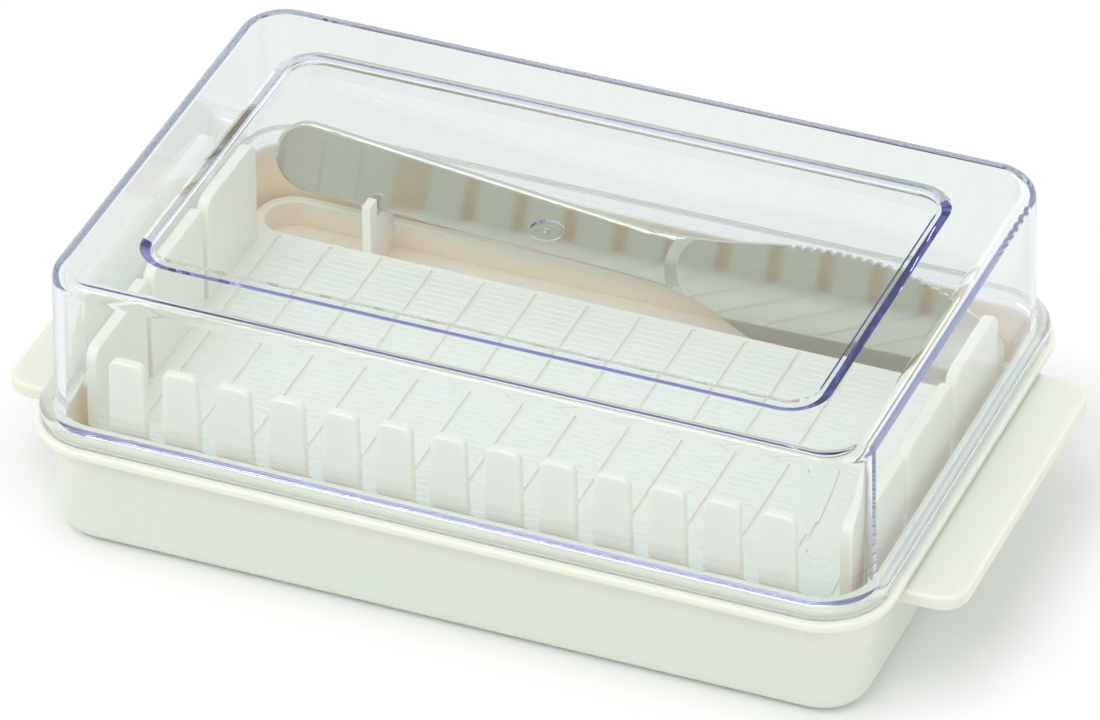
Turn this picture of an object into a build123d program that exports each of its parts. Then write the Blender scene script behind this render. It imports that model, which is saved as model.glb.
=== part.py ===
from build123d import *
import math
import os

# Butter dish with a cutting guide. Millimetres, +Z up, +X along the dish, comb side at -Y.
# The origin is the centre of the dish's footprint, on the face that it rests on.

# Base tray
tray_length = 151.9
tray_depth = 97.8
tray_corner = 9.6
tray_draft = 2.3
tray_wall = 1.8
tray_floor = 2.0
tray_bottom_round = 3.8
rim_top = 22.2
rim_thickness = 2.0
rim_overhang = 3.3
rim_edge_round = 0.5
rim_lower_round = 1.2
rim_underside_round = 1.2
locating_rib_height = 1.5
locating_rib_round = 0.4
ear_reach = 9.9
ear_inset = 17.7
ear_thickness = 2.8
ear_corner = 5.0
ear_edge_round = 0.6
ear_drop = 1.9

# Clear lid
lid_top = 54.0
lid_wall = 1.9
lid_draft = 1.2
lid_top_round = 2.6
lid_inner_top_round = 1.0
lid_shoulder = 2.6
lid_skirt_height = 3.9
lid_shoulder_round = 1.4
lid_foot_round = 0.5
lid_fit_gap = 0.5
lid_panel_inset = 14.4
lid_panel_depth = 1.5
lid_panel_under_margin = 0.3
lid_panel_under_slope = 50.0
lid_panel_corner = 5.5
gate_radius = 3.1
gate_depth = 0.4
gate_nub_radius = 0.5

# Cutting guide
slot_pitch = 10.0
post_base_width = 7.5
post_top_width = 6.3
post_thickness = 2.0
post_top = 38.2
post_corner = 1.6
post_edge_round = 0.5
comb_setback = 0.4
board_gap = 1.8
board_corner = 7.5
board_thickness = 2.0
board_top = 13.7
groove_width = 0.8
groove_depth = 0.5
groove_end_gap = 1.0
end_wall_thickness = 2.2
end_wall_inset = 1.2
end_wall_top = 34.3
end_wall_comb_gap = 4.5
end_wall_trough_gap = 2.5
tab_count = 3
slit_width = 2.0
tab_lead_round = 3.0
tab_trail_round = 0.8
tab_edge_round = 0.4
foot_frame_wall = 1.8
foot_frame_inset = 1.8
seat_gap = 0.1

# Knife trough and knife rest, both part of the guide
trough_width = 10.2
trough_wall = 1.6
trough_lip = 0.1
trough_edge_round = 0.4
rest_to_butt = 19.9
rest_thickness = 1.6
rest_prong_top = 23.1
knife_side_gap = 0.3
knife_under_gap = 0.2

# Butter knife
knife_thickness = 2.0
knife_tilt = 4.27
knife_lean = 15.2
knife_end_gap = 1.9
knife_point_overrun = 0.7
knife_setback = 1.1
knife_butt_z = 27.5
handle_width = 13.1
neck_width = 9.6
neck_to_point = 72.3
heel_to_point = 67.3
belly_top = 10.7
belly_top_to_point = 28.3
belly_bottom = 11.2
belly_bottom_to_point = 38.3
tip_rise = 1.3
tip_round = 4.0
knife_edge_round = 0.7
blade_thickness = 1.1
blade_step_to_point = 65.8
blade_step_radius = 9.0
blade_step_slope = 78.0
tooth_count = 17
tooth_radius = 0.5
tooth_pitch = 1.9

# Worked out from the sizes above
rim_length = tray_length + 2 * rim_overhang
rim_depth = tray_depth + 2 * rim_overhang
rim_corner = tray_corner + rim_overhang
ear_depth = rim_depth - 2 * ear_inset
rim_bottom = rim_top - rim_thickness
locating_rib_top = rim_top + locating_rib_height
skirt_length = tray_length + 2 * (lid_fit_gap + lid_wall)
skirt_depth = tray_depth + 2 * (lid_fit_gap + lid_wall)
skirt_corner = tray_corner + lid_fit_gap + lid_wall
skirt_top = rim_top + lid_skirt_height
lid_length = skirt_length - 2 * lid_shoulder
lid_depth = skirt_depth - 2 * lid_shoulder
panel_length = lid_length - 2 * lid_panel_inset
panel_depth = lid_depth - 2 * lid_panel_inset
panel_level = lid_top - lid_panel_depth
panel_under_length = panel_length + 2 * lid_panel_under_margin
panel_under_depth = panel_depth + 2 * lid_panel_under_margin
board_bottom = board_top - board_thickness
board_margin = tray_wall + (rim_bottom - board_bottom) * math.tan(math.radians(tray_draft)) + board_gap
board_length = tray_length - 2 * board_margin
board_depth = tray_depth - 2 * board_margin
comb_face = board_depth / 2 - comb_setback
end_wall_outer = board_length / 2 - end_wall_inset
end_post_limit = end_wall_outer - end_wall_thickness - post_base_width / 2
post_count = 2 * int(end_post_limit / slot_pitch) + 1
slot_count = post_count + 1
trough_outer_width = trough_width + 2 * trough_wall
trough_y = board_depth / 2 - trough_lip - trough_outer_width / 2
trough_outer_length = board_length - 2 * trough_lip
trough_length = trough_outer_length - 2 * trough_wall
trough_front = trough_y - trough_width / 2
end_wall_front = -comb_face + post_thickness + end_wall_comb_gap
end_wall_back = trough_front - end_wall_trough_gap
foot_bottom = tray_floor + seat_gap
foot_front = -comb_face + foot_frame_inset / 2
foot_length = board_length - 2 * (end_wall_inset + end_wall_thickness)
knife_butt_x = -trough_length / 2 + knife_end_gap
point_place = trough_length + knife_point_overrun
neck_place = point_place - neck_to_point
heel_place = point_place - heel_to_point
belly_top_place = point_place - belly_top_to_point
belly_bottom_place = point_place - belly_bottom_to_point
blade_step_place = point_place - blade_step_to_point
knife_y = trough_y + knife_setback
tilt = math.radians(knife_tilt)
lean = math.radians(knife_lean)
rest_x = knife_butt_x + rest_to_butt
rest_start = rest_x - rest_thickness / 2
past = 1.0
level = 0.01


def tub(length, depth, corner, top, bottom, draft, bottom_round):
    """A solid block with rounded corners that narrows downwards, with its bottom edge rounded."""
    with BuildPart() as block:
        with BuildSketch(Plane.XY.offset(top)):
            RectangleRounded(length, depth, corner)
        extrude(amount=bottom - top, taper=draft)
        fillet(block.faces().sort_by(Axis.Z)[0].edges(), bottom_round)
    return block.part


def dome(length, depth, corner, bottom, top, draft, top_round):
    """A solid block with rounded corners that narrows upwards, with its top edge rounded."""
    with BuildPart() as block:
        with BuildSketch(Plane.XY.offset(bottom)):
            RectangleRounded(length, depth, corner)
        extrude(amount=top - bottom, taper=draft)
        fillet(block.faces().sort_by(Axis.Z)[-1].edges(), top_round)
    return block.part


# Base tray: a drafted tub with an overhanging rim, a locating rib for the lid and two ear grips
tray_outside = tub(tray_length, tray_depth, tray_corner, rim_bottom, 0, tray_draft, tray_bottom_round)
tray_inside = tub(tray_length - 2 * tray_wall, tray_depth - 2 * tray_wall, tray_corner - tray_wall,
                  rim_bottom, tray_floor, tray_draft, tray_bottom_round - tray_wall)

with BuildPart() as base_tray:
    add(tray_outside)
    with BuildSketch(Plane.XY.offset(rim_bottom)):
        RectangleRounded(rim_length, rim_depth, rim_corner)
    extrude(amount=rim_thickness)
    fillet(base_tray.faces().sort_by(Axis.Z)[-1].edges(), rim_edge_round)
    fillet(base_tray.faces().filter_by(Axis.Z).sort_by(Axis.Z)[1].outer_wire().edges(), rim_lower_round)
    fillet(base_tray.faces().filter_by(Axis.Z).sort_by(Axis.Z)[1].inner_wires().edges(), rim_underside_round)
    with BuildSketch(Plane.XY.offset(rim_top)):
        RectangleRounded(tray_length, tray_depth, tray_corner)
    extrude(amount=locating_rib_height)
    with BuildSketch(Plane.XY.offset(rim_top - ear_drop - ear_thickness)):
        RectangleRounded(rim_length + 2 * ear_reach, ear_depth, ear_corner)
    extrude(amount=ear_thickness)
    level_edges = base_tray.edges().filter_by(lambda edge: abs(edge.tangent_at(0.5).Z) < level)
    ear_rims = level_edges.filter_by(lambda edge: abs(edge.center().X) > rim_length / 2 + ear_edge_round)
    fillet(ear_rims, ear_edge_round)
    add(tray_inside, mode=Mode.SUBTRACT)
    with BuildSketch(Plane.XY.offset(rim_bottom)):
        RectangleRounded(tray_length - 2 * tray_wall, tray_depth - 2 * tray_wall, tray_corner - tray_wall)
    extrude(amount=locating_rib_top - rim_bottom + past, mode=Mode.SUBTRACT)
    fillet(base_tray.faces().sort_by(Axis.Z)[-1].edges(), locating_rib_round)

# Clear lid: a domed cover with a shoulder, a skirt that sits on the tray's rim and a sunk top panel
# The panel's step is upright above and slopes outwards below, by the slope from upright
lid_outside = dome(lid_length, lid_depth, skirt_corner - lid_shoulder, skirt_top - lid_shoulder_round, lid_top,
                   lid_draft, lid_top_round)
lid_inside = dome(lid_length - 2 * lid_wall, lid_depth - 2 * lid_wall, skirt_corner - lid_shoulder - lid_wall,
                  rim_top, lid_top - lid_wall, lid_draft, lid_inner_top_round)
lid_skirt = dome(skirt_length, skirt_depth, skirt_corner, rim_top, skirt_top, 0, lid_shoulder_round)

with BuildPart() as cavity:
    add(lid_inside)
    with BuildSketch(Plane.XY.offset(rim_top)):
        RectangleRounded(skirt_length - 2 * lid_wall, skirt_depth - 2 * lid_wall, skirt_corner - lid_wall)
    extrude(amount=lid_skirt_height - lid_wall)
    with BuildSketch(Plane.XY.offset(panel_level - lid_wall)):
        RectangleRounded(panel_under_length, panel_under_depth, lid_panel_corner + lid_panel_under_margin)
    extrude(amount=lid_panel_depth + past, taper=-lid_panel_under_slope, mode=Mode.SUBTRACT)

with BuildPart() as clear_lid:
    add(lid_outside)
    add(lid_skirt)
    with BuildSketch(Plane.XY.offset(panel_level)):
        RectangleRounded(panel_length, panel_depth, lid_panel_corner)
    extrude(amount=lid_panel_depth + past, mode=Mode.SUBTRACT)
    with BuildSketch(Plane.XY.offset(panel_level - gate_depth)):
        Circle(gate_radius)
        Circle(gate_nub_radius, mode=Mode.SUBTRACT)
    extrude(amount=gate_depth + past, mode=Mode.SUBTRACT)
    add(cavity.part, mode=Mode.SUBTRACT)
    fillet(clear_lid.faces().sort_by(Axis.Z)[0].outer_wire().edges(), lid_foot_round)

# Butter knife: one flat blank, thinned at the blade, with fine teeth along the back
# It lies on its edge, tip down by the tilt, and leans back over its rest
knife_front = (math.sin(lean) * math.sin(tilt), -math.cos(lean), math.sin(lean) * math.cos(tilt))
knife_plane = Plane(origin=(knife_butt_x, knife_y, knife_butt_z),
                    x_dir=(math.cos(tilt), 0, -math.sin(tilt)), z_dir=knife_front)
handle_half = handle_width / 2
neck_half = neck_width / 2
blade_start = blade_step_place + blade_step_radius
blade_end = point_place + handle_width
blade_side = handle_width + belly_bottom
back_bend = ((neck_place + belly_top_place) / 2, (neck_half + belly_top) / 2)
heel_bend = ((heel_place + belly_bottom_place) / 2, -(neck_half + belly_bottom) / 2)
onward = (1, 0)
backward = (-1, 0)

with BuildLine() as knife_outline:
    ThreePointArc((handle_half, -handle_half), (0, 0), (handle_half, handle_half))
    Line((handle_half, handle_half), (neck_place, neck_half))
    TangentArc((neck_place, neck_half), back_bend, tangent=onward)
    back_rise = TangentArc((belly_top_place, belly_top), back_bend, tangent=backward)
    back_fall = TangentArc((belly_top_place, belly_top), (point_place, tip_rise), tangent=onward)
    TangentArc((belly_bottom_place, -belly_bottom), (point_place, tip_rise), tangent=onward)
    TangentArc((belly_bottom_place, -belly_bottom), heel_bend, tangent=backward)
    TangentArc((heel_place, -neck_half), heel_bend, tangent=onward)
    Polyline((heel_place, -neck_half), (neck_place, -neck_half), (handle_half, -handle_half))
tooth_offsets = [(index - (tooth_count - 1) / 2) * tooth_pitch for index in range(tooth_count)]
tooth_places = [(back_fall if offset > 0 else back_rise).position_at(abs(offset),
                                                                    position_mode=PositionMode.LENGTH)
                for offset in tooth_offsets]

with BuildPart() as butter_knife:
    with BuildSketch(knife_plane) as blank:
        add(knife_outline.line)
        make_face()
        fillet(blank.vertices().sort_by(Axis.X)[-1], tip_round)
    extrude(amount=knife_thickness / 2, both=True)
    fillet(butter_knife.faces().filter_by(Axis((0, 0, 0), knife_front)).edges(), knife_edge_round)
    for side in (1, -1):
        with BuildSketch(knife_plane.offset(side * knife_thickness / 2)):
            with BuildLine():
                ThreePointArc((blade_start, blade_step_radius), (blade_step_place, 0),
                              (blade_start, -blade_step_radius))
                Polyline((blade_start, -blade_step_radius), (blade_start, -blade_side), (blade_end, -blade_side),
                         (blade_end, blade_side), (blade_start, blade_side), (blade_start, blade_step_radius))
            make_face()
        extrude(amount=-side * (knife_thickness - blade_thickness) / 2, taper=blade_step_slope,
                mode=Mode.SUBTRACT)
    with BuildSketch(knife_plane):
        with Locations(*tooth_places):
            Circle(tooth_radius)
    extrude(amount=knife_thickness, both=True, mode=Mode.SUBTRACT)

# Cutting guide: a grooved board on a foot frame, with a comb, two slit end walls and the knife trough
post_height = post_top - board_top
post_angle = math.degrees(math.atan2(post_height, (post_base_width - post_top_width) / 2))
tab_pitch = (end_wall_back - end_wall_front + slit_width) / tab_count
tab_width = tab_pitch - slit_width
trough_floor = butter_knife.part.bounding_box().min.Z - knife_under_gap
trough_bottom = trough_floor - trough_wall
foot_middle = (foot_front + trough_front) / 2
foot_depth = trough_front - foot_front
lower_edge_z = knife_butt_z - rest_to_butt * math.tan(tilt) - handle_half / math.cos(tilt) * math.cos(lean)
lower_edge_y = knife_y - handle_half * math.sin(lean)
half_rise = knife_thickness / 2 * math.sin(lean)
half_reach = knife_thickness / 2 * math.cos(lean)
saddle_top = lower_edge_z - half_rise - knife_under_gap
saddle_front = lower_edge_y - half_reach - knife_side_gap
saddle_back = lower_edge_y + half_reach + knife_side_gap / math.cos(lean)
notch_top = rest_prong_top + past
notch_back = saddle_back + (notch_top - saddle_top) * math.tan(lean)
groove_back = trough_front - groove_end_gap
groove_middle = (groove_back - comb_face) / 2
groove_length = groove_back + comb_face

with BuildPart() as comb:
    with BuildSketch(Plane.XZ.offset(comb_face)) as posts:
        with Locations((0, board_top)):
            with GridLocations(slot_pitch, slot_pitch, post_count, 1):
                Trapezoid(post_base_width, post_height, post_angle, align=(Align.CENTER, Align.MIN))
        fillet(posts.vertices().group_by(Axis.Y)[-1], post_corner)
    extrude(amount=-post_thickness)
    post_edges = comb.faces().filter_by(Axis.Y).edges()
    fillet(post_edges.filter_by(lambda edge: edge.center().Z > board_top + level), post_edge_round)

with BuildPart() as end_wall:
    with BuildSketch(Plane.YZ.offset(end_wall_outer)) as tabs:
        with Locations(((end_wall_front + end_wall_back) / 2, board_bottom)):
            with GridLocations(tab_pitch, tab_pitch, tab_count, 1):
                Rectangle(tab_width, end_wall_top - board_bottom, align=(Align.CENTER, Align.MIN))
        corners = tabs.vertices().group_by(Axis.Y)[-1].sort_by(Axis.X)
        fillet(corners[1:-1:2], tab_trail_round)
        corners = tabs.vertices().group_by(Axis.Y)[-1].sort_by(Axis.X)
        fillet(corners[0::2] + corners[-1:], tab_lead_round)
    extrude(amount=-end_wall_thickness)
    tab_edges = end_wall.faces().filter_by(Axis.X).edges()
    fillet(tab_edges.filter_by(lambda edge: edge.center().Z > board_bottom + level), tab_edge_round)

with BuildPart() as cutting_guide:
    with BuildSketch(Plane.XY.offset(board_bottom)):
        RectangleRounded(board_length, board_depth, board_corner)
    extrude(amount=board_thickness)
    with BuildSketch(Plane.XY.offset(foot_bottom)):
        with Locations((0, foot_middle)):
            Rectangle(foot_length, foot_depth)
            Rectangle(foot_length - 2 * foot_frame_wall, foot_depth - 2 * foot_frame_wall, mode=Mode.SUBTRACT)
    extrude(amount=board_bottom - foot_bottom)
    with BuildSketch(Plane.XY.offset(trough_bottom)):
        with Locations((0, trough_y)):
            SlotOverall(trough_outer_length, trough_outer_width)
    extrude(amount=board_top - trough_bottom)
    with BuildSketch(Plane.XY.offset(board_top - groove_depth)):
        with Locations((0, groove_middle)):
            with GridLocations(slot_pitch, slot_pitch, slot_count, 1):
                Rectangle(groove_width, groove_length)
    extrude(amount=groove_depth + past, mode=Mode.SUBTRACT)
    add(comb.part)
    add(end_wall.part)
    mirror(end_wall.part, about=Plane.YZ)
    with BuildSketch(Plane.XY.offset(trough_floor)):
        with Locations((0, trough_y)):
            SlotOverall(trough_length, trough_width)
    extrude(amount=post_top - trough_floor, mode=Mode.SUBTRACT)
    trough_rim = cutting_guide.edges(Select.LAST).filter_by_position(Axis.Z, board_top - level, board_top + level)
    fillet(trough_rim, trough_edge_round)
    with BuildSketch(Plane.YZ.offset(rest_start)):
        with Locations((trough_y, trough_floor)):
            Rectangle(trough_width, rest_prong_top - trough_floor, align=(Align.CENTER, Align.MIN))
        with BuildLine():
            Polyline((saddle_front, saddle_top), (saddle_back, saddle_top), (notch_back, notch_top),
                     (saddle_front, notch_top), close=True)
        make_face(mode=Mode.SUBTRACT)
    extrude(amount=rest_thickness)

os.makedirs("parts", exist_ok=True)
for name, piece in (("base_tray", base_tray), ("cutting_guide", cutting_guide), ("butter_knife", butter_knife),
                    ("clear_lid", clear_lid)):
    piece.part.label = name
    export_step(piece.part, "parts/" + name + ".step")
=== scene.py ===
"""Looks, light and camera for a butter dish with a cutting guide, a butter knife and a clear lid.

Metres, +Z up, +X along the dish, the guide's comb at -Y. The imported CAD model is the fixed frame, and
the classes below dress its pieces and add the fine ribbing of the guide's board.
"""

from __future__ import annotations

import logging
import math
from dataclasses import dataclass, field
from enum import Enum

import bmesh
import bpy
from mathutils import Matrix, Vector


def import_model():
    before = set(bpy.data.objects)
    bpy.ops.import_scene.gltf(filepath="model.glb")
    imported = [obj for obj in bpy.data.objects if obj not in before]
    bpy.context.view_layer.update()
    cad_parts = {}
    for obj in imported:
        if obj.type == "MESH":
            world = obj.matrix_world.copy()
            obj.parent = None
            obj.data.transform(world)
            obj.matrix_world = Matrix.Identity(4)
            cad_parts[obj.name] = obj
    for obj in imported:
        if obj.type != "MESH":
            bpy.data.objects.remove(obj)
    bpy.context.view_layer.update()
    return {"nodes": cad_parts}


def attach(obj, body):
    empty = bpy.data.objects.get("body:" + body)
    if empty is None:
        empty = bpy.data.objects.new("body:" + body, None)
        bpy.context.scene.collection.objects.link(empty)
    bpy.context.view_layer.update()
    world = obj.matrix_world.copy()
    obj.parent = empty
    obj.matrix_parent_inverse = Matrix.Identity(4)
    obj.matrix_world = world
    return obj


LOG = logging.getLogger("butter_dish")
MM = 0.001

Colour = tuple[float, float, float]
Point = tuple[float, float, float]
Feeds = dict[str | int, object]

BLACK: Colour = (0.0, 0.0, 0.0)
WHITE: Colour = (1.0, 1.0, 1.0)


class Node(str, Enum):
    """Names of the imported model's nodes."""

    TRAY = "base_tray"
    GUIDE = "cutting_guide"
    KNIFE = "butter_knife"
    LID = "clear_lid"


class Body(str, Enum):
    """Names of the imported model's bodies."""

    TRAY = "tray"
    GUIDE = "guide"
    KNIFE = "knife"
    LID = "lid"


class Slot(str, Enum):
    """Names of the record's material slots."""

    TRAY = "tray"
    GUIDE = "guide"
    KNIFE = "knife"
    LID = "lid"


def rgba(colour: Colour) -> tuple[float, float, float, float]:
    """Return a colour with full alpha, as Blender's sockets take it."""
    return (*colour, 1.0)


@dataclass
class ShaderSheet:
    """A node tree under construction, with short calls that place and link its nodes."""

    tree: bpy.types.NodeTree

    def add(self, kind: str, values: Feeds | None = None, **settings: object) -> bpy.types.Node:
        """Place one node.

        Args:
            kind: Blender's type name of the node.
            values: Input sockets by name or number, each with a constant or another node's output socket.
            settings: Properties of the node itself.

        Returns:
            The new node.
        """
        node = self.tree.nodes.new(kind)
        for name, value in settings.items():
            setattr(node, name, value)
        for name, value in (values or {}).items():
            self.feed(node.inputs[name], value)
        return node

    def feed(self, socket: bpy.types.NodeSocket, value: object) -> None:
        """Link an output socket to an input socket, or write a constant on it.

        Args:
            socket: The input socket.
            value: A constant or another node's output socket.
        """
        if isinstance(value, bpy.types.NodeSocket):
            self.tree.links.new(value, socket)
        else:
            socket.default_value = value

    def math(self, operation: str, first: object, second: object = 0.0) -> bpy.types.NodeSocket:
        """Place a math node.

        Args:
            operation: Name of the operation.
            first: First operand, a number or an output socket.
            second: Second operand, a number or an output socket.

        Returns:
            The result's socket.
        """
        node = self.tree.nodes.new("ShaderNodeMath")
        node.operation = operation
        self.feed(node.inputs[0], first)
        self.feed(node.inputs[1], second)
        return node.outputs[0]

    def blend(self, amount: object, first: object, second: object) -> bpy.types.NodeSocket:
        """Blend two colours.

        Args:
            amount: Share of the second colour, a number or an output socket.
            first: Colour where the amount is 0, plain or an output socket.
            second: Colour where the amount is 1, plain or an output socket.

        Returns:
            The blended colour's socket.
        """
        node = self.tree.nodes.new("ShaderNodeMix")
        node.data_type = "RGBA"
        self.feed(node.inputs["Factor"], amount)
        for name, colour in (("A", first), ("B", second)):
            plain = not isinstance(colour, bpy.types.NodeSocket)
            self.feed(self.colour_input(node, name), rgba(colour) if plain else colour)
        return next(socket for socket in node.outputs if socket.type == "RGBA")

    @staticmethod
    def colour_input(node: bpy.types.Node, name: str) -> bpy.types.NodeSocket:
        """Return a mix node's colour input of that name, past its number and vector inputs."""
        return next(socket for socket in node.inputs if socket.name == name and socket.type == "RGBA")

    def span(self, value: object, low: float, high: float) -> bpy.types.NodeSocket:
        """Stretch a 0 to 1 value over another range and return its socket."""
        node = self.add("ShaderNodeMapRange", {"Value": value, "To Min": low, "To Max": high})
        return node.outputs["Result"]

    def seen_directly(self) -> bpy.types.NodeSocket:
        """Tell the rays that show a surface from those that only light others.

        Returns:
            A socket that is 1 for the camera's rays, in gloss and through the lid, and 0 otherwise.
        """
        ray = self.add("ShaderNodeLightPath").outputs
        outside = self.math("MAXIMUM", ray["Is Camera Ray"], ray["Is Glossy Ray"])
        return self.math("MAXIMUM", outside, ray["Is Transmission Ray"])


class SharedEffect:
    """Base of the shader node groups, each built once and placed in every material that uses it."""

    NAME: str
    INPUTS: tuple[str, ...]
    OUTPUTS: tuple[str, ...]

    def __init__(self) -> None:
        """Make the group with its named inputs and outputs, and then its nodes."""
        self.tree = bpy.data.node_groups.new(self.NAME, "ShaderNodeTree")
        for direction, names in (("INPUT", self.INPUTS), ("OUTPUT", self.OUTPUTS)):
            for name in names:
                self.tree.interface.new_socket(name, in_out=direction, socket_type="NodeSocketFloat")
        self._add_nodes(ShaderSheet(self.tree))

    def _add_nodes(self, sheet: ShaderSheet) -> None:
        """Place the effect's own nodes on the group's sheet."""
        raise NotImplementedError

    def _place(self, sheet: ShaderSheet, *values: float) -> bpy.types.Node:
        """Place the group in a material.

        Args:
            sheet: The material's node tree.
            values: Values of the group's inputs, in their order.

        Returns:
            The group's node.
        """
        return sheet.add("ShaderNodeGroup", dict(zip(self.INPUTS, values)), node_tree=self.tree)


class SurfaceVariation(SharedEffect):
    """Shader node group shared by the dish's finishes: slow mottling and fine waviness of a made surface."""

    NAME = "surface_variation"
    INPUTS = ("Mottle Scale", "Wave Scale", "Stretch")
    OUTPUTS = ("Mottle", "Wave")
    MOTTLE_DETAIL = 3.0
    MOTTLE_ROUGHNESS = 0.5
    WAVE_DETAIL = 2.0
    WAVE_ROUGHNESS = 0.55

    def _add_nodes(self, sheet: ShaderSheet) -> None:
        """Place two layers of noise in object space, the fine one stretched along the dish.

        Args:
            sheet: The group's node tree.
        """
        given = sheet.add("NodeGroupInput").outputs
        place = sheet.add("ShaderNodeTexCoord").outputs["Object"]
        mottle = sheet.add("ShaderNodeTexNoise", {
            "Vector": place,
            "Scale": given["Mottle Scale"],
            "Detail": self.MOTTLE_DETAIL,
            "Roughness": self.MOTTLE_ROUGHNESS,
        })
        stretched = sheet.add("ShaderNodeCombineXYZ", {"X": given["Stretch"], "Y": 1.0, "Z": 1.0})
        scaled = sheet.add("ShaderNodeVectorMath", {0: place, 1: stretched.outputs[0]}, operation="MULTIPLY")
        wave = sheet.add("ShaderNodeTexNoise", {
            "Vector": scaled.outputs[0],
            "Scale": given["Wave Scale"],
            "Detail": self.WAVE_DETAIL,
            "Roughness": self.WAVE_ROUGHNESS,
        })
        sheet.add("NodeGroupOutput", {"Mottle": mottle.outputs["Fac"], "Wave": wave.outputs["Fac"]})

    def place(self, sheet: ShaderSheet, mottle: float, wave: float, stretch: float = 1.0) -> bpy.types.Node:
        """Place the group in a material.

        Args:
            sheet: The material's node tree.
            mottle: Scale of the slow mottling.
            wave: Scale of the fine waviness.
            stretch: Scale along X, below 1 for streaks along the dish.

        Returns:
            The group's node.
        """
        return self._place(sheet, mottle, wave, stretch)


class Side(Enum):
    """Which faces of an ivory piece count as the walls of a gap."""

    INSIDE = "inside"
    OUTSIDE = "outside"


@dataclass(frozen=True)
class PaintedGlowZone:
    """Where an ivory piece is painted a warm glow, standing in for bounced light: low in its hollows, and on
    its walls beside a rounded level outline.

    Its hollows glow most up to dark_height and not at all from light_height up. Its walls glow most from
    wall_start to wall_full, by wall_share, and not at all below wall_foot or above wall_end. The outline
    is a half length, a half depth and a corner radius. Reach is how near the walls of a hollow are.
    """

    dark_height: float
    light_height: float
    side: Side
    outline: tuple[float, float, float]
    wall_share: float
    wall_foot: float = 8 * MM
    wall_start: float = 13 * MM
    wall_full: float = 17 * MM
    wall_end: float = 25 * MM
    reach: float = 12 * MM


class PaintedGlowDepth(SharedEffect):
    """Shader node group shared by the ivory pieces: how low a point lies, and how deep in a gap, as masks of
    their painted warm glow.
    """

    NAME = "painted_glow_depth"
    INPUTS = ("Dark Height", "Light Height", "Reach")
    OUTPUTS = ("Low", "Depth")
    NEARNESS_GAIN = 1.6
    NEARNESS_SAMPLES = 6

    def _add_nodes(self, sheet: ShaderSheet) -> None:
        """Put out how low a point lies, and that times how closely the piece's own walls surround it.

        Args:
            sheet: The group's node tree.
        """
        given = sheet.add("NodeGroupInput").outputs
        place = sheet.add("ShaderNodeTexCoord").outputs["Object"]
        height = sheet.add("ShaderNodeSeparateXYZ", {"Vector": place}).outputs["Z"]
        low = sheet.add("ShaderNodeMapRange", {
            "Value": height,
            "From Min": given["Light Height"],
            "From Max": given["Dark Height"],
        }, interpolation_type="SMOOTHSTEP")
        near = sheet.add("ShaderNodeAmbientOcclusion", {"Distance": given["Reach"]},
                         samples=self.NEARNESS_SAMPLES, only_local=True)
        closed = sheet.math("SUBTRACT", 1.0, near.outputs["AO"])
        nearness = sheet.math("MULTIPLY", closed, self.NEARNESS_GAIN)
        depth = sheet.math("MULTIPLY", low.outputs["Result"], nearness)
        sheet.add("NodeGroupOutput", {
            "Low": low.outputs["Result"],
            "Depth": sheet.math("MINIMUM", depth, 1.0),
        })

    def place(self, sheet: ShaderSheet, dark: float, light: float, reach: float) -> bpy.types.Node:
        """Place the group in a material.

        Args:
            sheet: The material's node tree.
            dark: Height at and below which a gap glows fully.
            light: Height at and above which nothing glows.
            reach: How far the piece's own walls count as near.

        Returns:
            The group's node.
        """
        return self._place(sheet, dark, light, reach)


class OutlineDistance(SharedEffect):
    """Shader node group shared by the ivory and the floor: how far a point lies outside a level rectangle."""

    NAME = "outline_distance"
    INPUTS = ("Half Length", "Half Depth")
    OUTPUTS = ("Distance",)

    def _add_nodes(self, sheet: ShaderSheet) -> None:
        """Measure the level distance past the rectangle's nearest edge or corner.

        Args:
            sheet: The group's node tree.
        """
        given = sheet.add("NodeGroupInput").outputs
        place = sheet.add("ShaderNodeTexCoord").outputs["Object"]
        axes = sheet.add("ShaderNodeSeparateXYZ", {"Vector": place}).outputs
        reach = []
        for axis, half in (("X", "Half Length"), ("Y", "Half Depth")):
            past = sheet.math("SUBTRACT", sheet.math("ABSOLUTE", axes[axis]), given[half])
            reach.append(sheet.math("POWER", sheet.math("MAXIMUM", past, 0.0), 2.0))
        distance = sheet.math("SQRT", sheet.math("ADD", *reach))
        sheet.add("NodeGroupOutput", {"Distance": distance})

    def place(self, sheet: ShaderSheet, half_length: float, half_depth: float) -> bpy.types.NodeSocket:
        """Place the group in a material.

        Args:
            sheet: The material's node tree.
            half_length: Half of the rectangle's side along X.
            half_depth: Half of its side along Y.

        Returns:
            The distance's socket, in metres.
        """
        return self._place(sheet, half_length, half_depth).outputs["Distance"]


@dataclass(frozen=True)
class Effects:
    """The shared shader node groups."""

    variation: SurfaceVariation
    depth: PaintedGlowDepth
    outline: OutlineDistance


def new_material(name: str) -> tuple[bpy.types.Material, ShaderSheet]:
    """Start an empty node material.

    Args:
        name: Name of the material.

    Returns:
        The material and its node tree, ready for nodes.
    """
    material = bpy.data.materials.new(name)
    material.use_nodes = True
    material.node_tree.nodes.clear()
    return material, ShaderSheet(material.node_tree)


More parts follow.
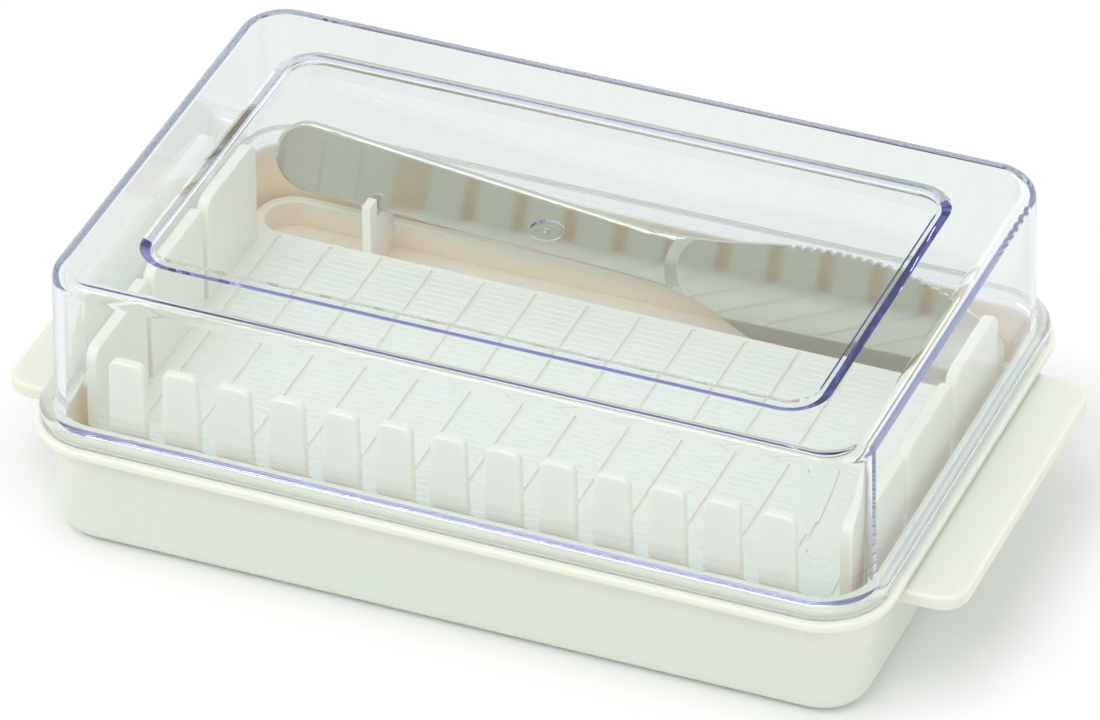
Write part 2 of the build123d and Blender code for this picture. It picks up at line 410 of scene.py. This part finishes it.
@dataclass(frozen=True)
class IvoryPlastic:
    """Ivory moulding plastic that lets a little light in, with a painted warm glow in its gaps in place of
    bounced light.
    """

    name: str
    gap: PaintedGlowZone
    pale: Colour = (0.75, 0.79, 0.715)
    deep: Colour = (0.72, 0.76, 0.685)
    # Colour of the painted warm glow, painted in for light bounced in the gaps.
    painted_glow_colour: Colour = (0.96, 0.82, 0.65)
    roughness: tuple[float, float] = (0.30, 0.42)
    mottle_scale: float = 22.0
    wave_scale: float = 420.0
    bump_height: float = 0.00002
    bump_strength: float = 0.35
    refraction: float = 1.49
    glow: float = 0.8
    glow_depth: float = 0.003
    glow_radius: Colour = (1.0, 0.6, 0.35)

    def build(self, effects: Effects) -> bpy.types.Material:
        """Make the material.

        Args:
            effects: The shared shader node groups.

        Returns:
            The finished material.
        """
        material, sheet = new_material(self.name)
        surface = effects.variation.place(sheet, self.mottle_scale, self.wave_scale)
        bump = sheet.add("ShaderNodeBump", {"Height": surface.outputs["Wave"], "Distance": self.bump_height,
                                            "Strength": self.bump_strength})
        ivory = sheet.blend(surface.outputs["Mottle"], self.pale, self.deep)
        # Base Color carries the painted warm glow of the gaps over the mottled ivory.
        plastic = sheet.add("ShaderNodeBsdfPrincipled", {
            "Base Color": sheet.blend(self._painted_glow(sheet, effects), ivory, self.painted_glow_colour),
            "Roughness": sheet.span(surface.outputs["Mottle"], *self.roughness),
            "Normal": bump.outputs["Normal"],
            "IOR": self.refraction,
            "Subsurface Weight": self.glow,
            "Subsurface Scale": self.glow_depth,
            "Subsurface Radius": self.glow_radius,
        })
        sheet.add("ShaderNodeOutputMaterial", {"Surface": plastic.outputs["BSDF"]})
        return material

    def _painted_glow(self, sheet: ShaderSheet, effects: Effects) -> bpy.types.NodeSocket:
        """Place the mask of the painted warm glow, in the hollows and on the walls of the gap.

        Args:
            sheet: The material's node tree.
            effects: The shared shader node groups.

        Returns:
            The painted glow's socket, 0 for ivory and 1 for the full painted warm glow.
        """
        # Painted warm glow: deep in the piece's hollows, and in a band up its walls on one side of the
        # outline.
        gap = self.gap
        painted_hollow_glow = effects.depth.place(sheet, gap.dark_height, gap.light_height, gap.reach).outputs["Depth"]
        low = effects.depth.place(sheet, gap.wall_full, gap.wall_end, gap.reach).outputs["Low"]
        under = effects.depth.place(sheet, gap.wall_foot, gap.wall_start, gap.reach).outputs["Low"]
        painted_wall_glow = sheet.math("MULTIPLY", sheet.math("SUBTRACT", low, under), gap.wall_share)
        half_length, half_depth, corner = gap.outline
        distance = effects.outline.place(sheet, half_length - corner, half_depth - corner)
        test = "LESS_THAN" if gap.side is Side.INSIDE else "GREATER_THAN"
        return sheet.math("MAXIMUM", painted_hollow_glow, sheet.math("MULTIPLY", sheet.math(test, distance, corner), painted_wall_glow))


@dataclass(frozen=True)
class PolishedSteel:
    """Mirror-polished stainless steel with faint rolling marks along the knife."""

    name: str = "polished_steel"
    pale: Colour = (0.57, 0.58, 0.50)
    deep: Colour = (0.51, 0.52, 0.45)
    roughness: tuple[float, float] = (0.035, 0.08)
    mottle_scale: float = 30.0
    wave_scale: float = 900.0
    streak: float = 0.08
    bump_height: float = 0.000005
    bump_strength: float = 0.5

    def build(self, effects: Effects) -> bpy.types.Material:
        """Make the material.

        Args:
            effects: The shared shader node groups.

        Returns:
            The finished material.
        """
        material, sheet = new_material(self.name)
        surface = effects.variation.place(sheet, self.mottle_scale, self.wave_scale, self.streak)
        bump = sheet.add("ShaderNodeBump", {"Height": surface.outputs["Mottle"], "Distance": self.bump_height,
                                            "Strength": self.bump_strength})
        steel = sheet.add("ShaderNodeBsdfPrincipled", {
            "Base Color": sheet.blend(surface.outputs["Wave"], self.pale, self.deep),
            "Metallic": 1.0,
            "Roughness": sheet.span(surface.outputs["Wave"], *self.roughness),
            "Normal": bump.outputs["Normal"],
        })
        sheet.add("ShaderNodeOutputMaterial", {"Surface": steel.outputs["BSDF"]})
        return material


@dataclass(frozen=True)
class ClearPlastic:
    """Water-clear moulding plastic that turns navy where the eye looks along its wall."""

    name: str = "clear_plastic"
    tint: Colour = (0.94, 0.972, 0.938)
    refraction: float = 1.57
    depth_colour: Colour = (0.20, 0.24, 0.70)
    depth_density: float = 22.0
    roughness: tuple[float, float] = (0.0, 0.012)
    mottle_scale: float = 14.0
    wave_scale: float = 120.0
    bump_height: float = 0.00001
    bump_strength: float = 0.3

    def build(self, effects: Effects) -> bpy.types.Material:
        """Make the material.

        Args:
            effects: The shared shader node groups.

        Returns:
            The finished material.
        """
        material, sheet = new_material(self.name)
        surface = effects.variation.place(sheet, self.mottle_scale, self.wave_scale)
        bump = sheet.add("ShaderNodeBump", {"Height": surface.outputs["Mottle"], "Distance": self.bump_height,
                                            "Strength": self.bump_strength})
        glass = sheet.add("ShaderNodeBsdfPrincipled", {
            "Base Color": rgba(self.tint),
            "Roughness": sheet.span(surface.outputs["Wave"], *self.roughness),
            "Normal": bump.outputs["Normal"],
            "IOR": self.refraction,
            "Transmission Weight": 1.0,
        })
        through = sheet.add("ShaderNodeBsdfTransparent", {"Color": rgba(WHITE)})
        ray = sheet.add("ShaderNodeLightPath")
        lit = sheet.math("MAXIMUM", ray.outputs["Is Shadow Ray"], ray.outputs["Is Diffuse Ray"])
        shader = sheet.add("ShaderNodeMixShader", {
            "Fac": lit,
            1: glass.outputs["BSDF"],
            2: through.outputs["BSDF"],
        })
        depth = sheet.add("ShaderNodeVolumeAbsorption", {"Color": rgba(self.depth_colour),
                                                         "Density": self.depth_density})
        sheet.add("ShaderNodeOutputMaterial", {
            "Surface": shader.outputs[0],
            "Volume": depth.outputs["Volume"],
        })
        return material


@dataclass(frozen=True)
class PaleFloor:
    """Matt pale table top that fades into the white background away from the dish."""

    name: str = "pale_floor"
    colour: Colour = (0.93, 0.93, 0.925)
    deep: Colour = (0.916, 0.916, 0.911)
    fade_start: float = 0.0
    fade_end: float = 0.028
    half_length: float = 0.09
    half_depth: float = 0.055
    grain_scale: float = 260.0
    grain_detail: float = 2.0
    roughness: float = 0.85
    shine: float = 0.2

    def build(self, effects: Effects) -> bpy.types.Material:
        """Make the material.

        Args:
            effects: The shared shader node groups.

        Returns:
            The finished material.
        """
        material, sheet = new_material(self.name)
        place = sheet.add("ShaderNodeTexCoord").outputs["Object"]
        grain = sheet.add("ShaderNodeTexNoise", {"Vector": place, "Scale": self.grain_scale,
                                                 "Detail": self.grain_detail})
        table = sheet.blend(grain.outputs["Fac"], self.colour, self.deep)
        seen = sheet.seen_directly()
        distance = effects.outline.place(sheet, self.half_length, self.half_depth)
        fade = sheet.add("ShaderNodeMapRange", {
            "Value": distance,
            "From Min": self.fade_start,
            "From Max": self.fade_end,
        }, interpolation_type="SMOOTHSTEP")
        faded = sheet.math("MULTIPLY", seen, fade.outputs["Result"])
        matt = sheet.add("ShaderNodeBsdfPrincipled", {
            "Base Color": sheet.blend(faded, table, BLACK),
            "Roughness": self.roughness,
            "Specular IOR Level": self.shine,
            "Emission Color": sheet.blend(faded, BLACK, WHITE),
            "Emission Strength": 1.0,
        })
        sheet.add("ShaderNodeOutputMaterial", {"Surface": matt.outputs["BSDF"]})
        return material


def dress(node: bpy.types.Object, material: bpy.types.Material) -> None:
    """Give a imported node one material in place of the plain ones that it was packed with."""
    node.data.materials.clear()
    node.data.materials.append(material)


def report(node: Node, body: Body, slot: Slot) -> None:
    """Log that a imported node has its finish, and the body and the slot that it belongs to."""
    LOG.info("%s dressed: body %s, slot %s", node.value, body.value, slot.value)


@dataclass
class BaseTray:
    """The ivory tray with its rim and its two ear grips."""

    glow: float = 1.0
    glow_depth: float = 3.5 * MM
    # Painted warm glow on the inside of the tray's walls, standing in for light bounced in the gap.
    gap: PaintedGlowZone = PaintedGlowZone(
        dark_height=0.0,
        light_height=1 * MM,
        side=Side.INSIDE,
        outline=(74.7 * MM, 47.65 * MM, 8.7 * MM),
        wall_share=0.7,
    )

    def dress(self, nodes: dict[str, bpy.types.Object], effects: Effects) -> None:
        """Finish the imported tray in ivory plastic.

        Args:
            nodes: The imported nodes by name.
            effects: The shared shader node groups.
        """
        plastic = IvoryPlastic("ivory_tray", self.gap, glow=self.glow, glow_depth=self.glow_depth)
        dress(nodes[Node.TRAY.value], plastic.build(effects))
        report(Node.TRAY, Body.TRAY, Slot.TRAY)


@dataclass
class CuttingGuide:
    """The guide with its comb, end walls and trough, and the fine ribbing on its board."""

    board_top: float = 13.7 * MM
    board_half_length: float = 66.2 * MM
    rib_front: float = -40.9 * MM
    rib_back: float = 31.6 * MM
    rib_pitch: float = 1.65 * MM
    rib_width: float = 0.9 * MM
    rib_crown: float = 0.35 * MM
    rib_height: float = 0.07 * MM
    rib_sink: float = 0.05 * MM
    groove_pitch: float = 10.0 * MM
    groove_count: int = 14
    groove_gap: float = 1.2 * MM
    pale: Colour = (0.86, 0.885, 0.80)
    deep: Colour = (0.83, 0.855, 0.77)
    glow_depth: float = 1.2 * MM
    # Painted warm glow low in the guide's hollows and on its outer walls, standing in for bounced light.
    gap: PaintedGlowZone = PaintedGlowZone(
        dark_height=8 * MM,
        light_height=15 * MM,
        side=Side.OUTSIDE,
        outline=(69.8 * MM, 43.6 * MM, 6 * MM),
        wall_share=0.6,
    )

    def dress(self, nodes: dict[str, bpy.types.Object], effects: Effects) -> None:
        """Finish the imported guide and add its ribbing.

        Args:
            nodes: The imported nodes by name.
            effects: The shared shader node groups.
        """
        plastic = IvoryPlastic("ivory_guide", self.gap, self.pale, self.deep, glow_depth=self.glow_depth)
        dress(nodes[Node.GUIDE.value], plastic.build(effects))
        report(Node.GUIDE, Body.GUIDE, Slot.GUIDE)
        ribbing = IvoryPlastic("ivory_ribs", self.gap, self.pale, self.deep, glow=0.0)
        ribs = self._ribs(ribbing.build(effects))
        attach(ribs, Body.GUIDE.value)
        LOG.info("%s built with %d faces", ribs.name, len(ribs.data.polygons))

    def _spans(self) -> list[tuple[float, float]]:
        """Find the stretches between the board's cross grooves.

        Returns:
            The start and the end of each stretch along X.
        """
        middle = (self.groove_count - 1) / 2
        grooves = [(index - middle) * self.groove_pitch for index in range(self.groove_count)]
        starts = [-self.board_half_length] + [place + self.groove_gap / 2 for place in grooves]
        ends = [place - self.groove_gap / 2 for place in grooves] + [self.board_half_length]
        return [(start, end) for start, end in zip(starts, ends) if end - start > self.groove_gap]

    def _ribs(self, material: bpy.types.Material) -> bpy.types.Object:
        """Build the board's low ribs as one mesh, broken at the cross grooves.

        Args:
            material: Finish of the ribs.

        Returns:
            The ribs' object.
        """
        mesh = bmesh.new()
        count = int((self.rib_back - self.rib_front) / self.rib_pitch) + 1
        for index in range(count):
            middle = self.rib_front + index * self.rib_pitch
            for start, end in self._spans():
                self._rib(mesh, middle, start, end)
        data = bpy.data.meshes.new("guide_board_ribs")
        mesh.to_mesh(data)
        mesh.free()
        ribs = bpy.data.objects.new("guide_board_ribs", data)
        ribs.data.materials.append(material)
        bpy.context.scene.collection.objects.link(ribs)
        return ribs

    def _rib(self, mesh: bmesh.types.BMesh, middle: float, start: float, end: float) -> None:
        """Add one low rib with sloping sides and ends.

        Args:
            mesh: Mesh under construction.
            middle: Place of the rib's middle along Y.
            start: Its first end along X.
            end: Its last end along X.
        """
        slope = (self.rib_width - self.rib_crown) / 2
        low, high = self.board_top - self.rib_sink, self.board_top + self.rib_height
        rings = []
        for z, inset in ((low, 0.0), (high, slope)):
            half = self.rib_width / 2 - inset
            corners = ((start + inset, middle - half), (end - inset, middle - half),
                       (end - inset, middle + half), (start + inset, middle + half))
            rings.append([mesh.verts.new((x, y, z)) for x, y in corners])
        bottom, top = rings
        mesh.faces.new(list(reversed(bottom)))
        mesh.faces.new(top)
        for index in range(len(bottom)):
            following = (index + 1) % len(bottom)
            mesh.faces.new((bottom[index], bottom[following], top[following], top[index]))


@dataclass
class ButterKnife:
    """The steel butter knife in the guide's trough."""

    finish: PolishedSteel = field(default_factory=PolishedSteel)

    def dress(self, nodes: dict[str, bpy.types.Object], effects: Effects) -> None:
        """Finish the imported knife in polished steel.

        Args:
            nodes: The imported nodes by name.
            effects: The shared shader node groups.
        """
        dress(nodes[Node.KNIFE.value], self.finish.build(effects))
        report(Node.KNIFE, Body.KNIFE, Slot.KNIFE)


@dataclass
class ClearLid:
    """The clear lid with its shoulder, skirt and sunk top panel."""

    finish: ClearPlastic = field(default_factory=ClearPlastic)

    def dress(self, nodes: dict[str, bpy.types.Object], effects: Effects) -> None:
        """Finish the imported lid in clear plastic.

        Args:
            nodes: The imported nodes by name.
            effects: The shared shader node groups.
        """
        dress(nodes[Node.LID.value], self.finish.build(effects))
        report(Node.LID, Body.LID, Slot.LID)


@dataclass
class SoftBox:
    """One rectangular soft light, aimed at the dish; its power is in watts."""

    name: str
    place: Point
    size: tuple[float, float]
    power: float
    colour: Colour = WHITE
    aim: Point = (0.0, 0.0, 0.03)

    def build(self) -> bpy.types.Object:
        """Make the light.

        Returns:
            The light's object.
        """
        lamp = bpy.data.lights.new(self.name, "AREA")
        lamp.shape = "RECTANGLE"
        lamp.size, lamp.size_y = self.size
        lamp.energy = self.power
        lamp.color = self.colour
        light = bpy.data.objects.new(self.name, lamp)
        bpy.context.scene.collection.objects.link(light)
        light.location = Vector(self.place)
        light.rotation_euler = (Vector(self.aim) - Vector(self.place)).to_track_quat("-Z", "Y").to_euler()
        return light


@dataclass
class Studio:
    """The pale floor, the soft lights and the surroundings."""

    floor_half: float = 1.6
    floor_drop: float = 0.0001
    surroundings: Colour = (0.72, 0.725, 0.73)
    finish: PaleFloor = field(default_factory=PaleFloor)
    lights: tuple[SoftBox, ...] = (
        SoftBox("overhead_light", place=(-0.15, -0.15, 1.1), size=(0.9, 0.7), power=2.75),
        SoftBox("front_strip", place=(-0.34, -0.63, 0.84), size=(1.1, 0.04), power=2.6),
        SoftBox("left_light", place=(-1.0, -0.75, 0.55), size=(0.5, 0.7), power=0.4),
        SoftBox("right_light", place=(1.0, -0.35, 0.5), size=(0.5, 0.7), power=1.25),
        SoftBox("back_light", place=(0.35, 1.0, 0.6), size=(1.0, 0.4), power=1.5),
    )

    def build(self, effects: Effects) -> None:
        """Make the floor, the lights and the world.

        Args:
            effects: The shared shader node groups.
        """
        half, level = self.floor_half, -self.floor_drop
        corners = [(-half, -half, level), (half, -half, level), (half, half, level), (-half, half, level)]
        data = bpy.data.meshes.new("floor")
        data.from_pydata(corners, [], [(0, 1, 2, 3)])
        data.materials.append(self.finish.build(effects))
        floor = bpy.data.objects.new("floor", data)
        bpy.context.scene.collection.objects.link(floor)
        for light in self.lights:
            light.build()
        self._surround()
        LOG.info("floor and %d soft lights placed", len(self.lights))

    def _surround(self) -> None:
        """Light the scene with a soft grey, and show white to the camera, to gloss and through the lid."""
        world = bpy.data.worlds.new("surroundings")
        world.use_nodes = True
        world.node_tree.nodes.clear()
        sheet = ShaderSheet(world.node_tree)
        soft = sheet.add("ShaderNodeBackground", {"Color": rgba(self.surroundings), "Strength": 1.0})
        white = sheet.add("ShaderNodeBackground", {"Color": rgba(WHITE), "Strength": 1.0})
        mix = sheet.add("ShaderNodeMixShader", {
            "Fac": sheet.seen_directly(),
            1: soft.outputs[0],
            2: white.outputs[0],
        })
        sheet.add("ShaderNodeOutputWorld", {"Surface": mix.outputs[0]})
        bpy.context.scene.world = world


@dataclass
class PhotoCamera:
    """A long lens at the photograph's angle."""

    azimuth: float = 22.239
    elevation: float = 35.063
    roll: float = -0.351
    distance: float = 1632.2 * MM
    shift_right: float = 0.257 * MM
    shift_up: float = 20.491 * MM
    focal_pixels: float = 9272.5
    frame_width: float = 1100.0
    sensor_width: float = 36.0
    near_limit: float = 0.05

    def build(self) -> None:
        """Make the camera and look through it."""
        turn, rise, roll = (math.radians(angle) for angle in (self.azimuth, self.elevation, self.roll))
        back = Vector((math.sin(turn) * math.cos(rise), -math.cos(turn) * math.cos(rise), math.sin(rise)))
        right = Vector((math.cos(turn), math.sin(turn), 0.0))
        up = back.cross(right)
        level_right = math.cos(roll) * right + math.sin(roll) * up
        level_up = math.cos(roll) * up - math.sin(roll) * right
        place = self.distance * back + self.shift_right * level_right + self.shift_up * level_up
        data = bpy.data.cameras.new("photo_camera")
        data.sensor_fit = "HORIZONTAL"
        data.sensor_width = self.sensor_width
        data.lens = self.focal_pixels / self.frame_width * self.sensor_width
        data.clip_start = self.near_limit
        camera = bpy.data.objects.new("photo_camera", data)
        bpy.context.scene.collection.objects.link(camera)
        turned = Matrix((level_right, level_up, back)).transposed().to_4x4()
        camera.matrix_world = Matrix.Translation(place) @ turned
        bpy.context.scene.camera = camera
        LOG.info("camera placed %.2f m away", place.length)


@dataclass(frozen=True)
class LightPaths:
    """How often light may bounce: often in the lid, whose edges are navy only if it does."""

    in_the_lid: int = 64
    between_surfaces: int = 6
    straight_through: int = 32

    def apply(self, scene: bpy.types.Scene) -> None:
        """Set the scene's bounces, and keep its colours as they are written.

        Args:
            scene: The scene to set.
        """
        scene.cycles.max_bounces = self.in_the_lid
        scene.cycles.glossy_bounces = self.in_the_lid
        scene.cycles.transmission_bounces = self.in_the_lid
        scene.cycles.diffuse_bounces = self.between_surfaces
        scene.cycles.transparent_max_bounces = self.straight_through
        scene.view_settings.view_transform = "Standard"


def main() -> None:
    """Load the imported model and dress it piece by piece."""
    logging.basicConfig(level=logging.INFO, format="%(name)s: %(message)s")
    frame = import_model()
    nodes = frame["nodes"]
    effects = Effects(SurfaceVariation(), PaintedGlowDepth(), OutlineDistance())
    for assembly in (BaseTray(), CuttingGuide(), ButterKnife(), ClearLid()):
        assembly.dress(nodes, effects)
    Studio().build(effects)
    PhotoCamera().build()
    LightPaths().apply(bpy.context.scene)


if __name__ == "__main__":
    main()
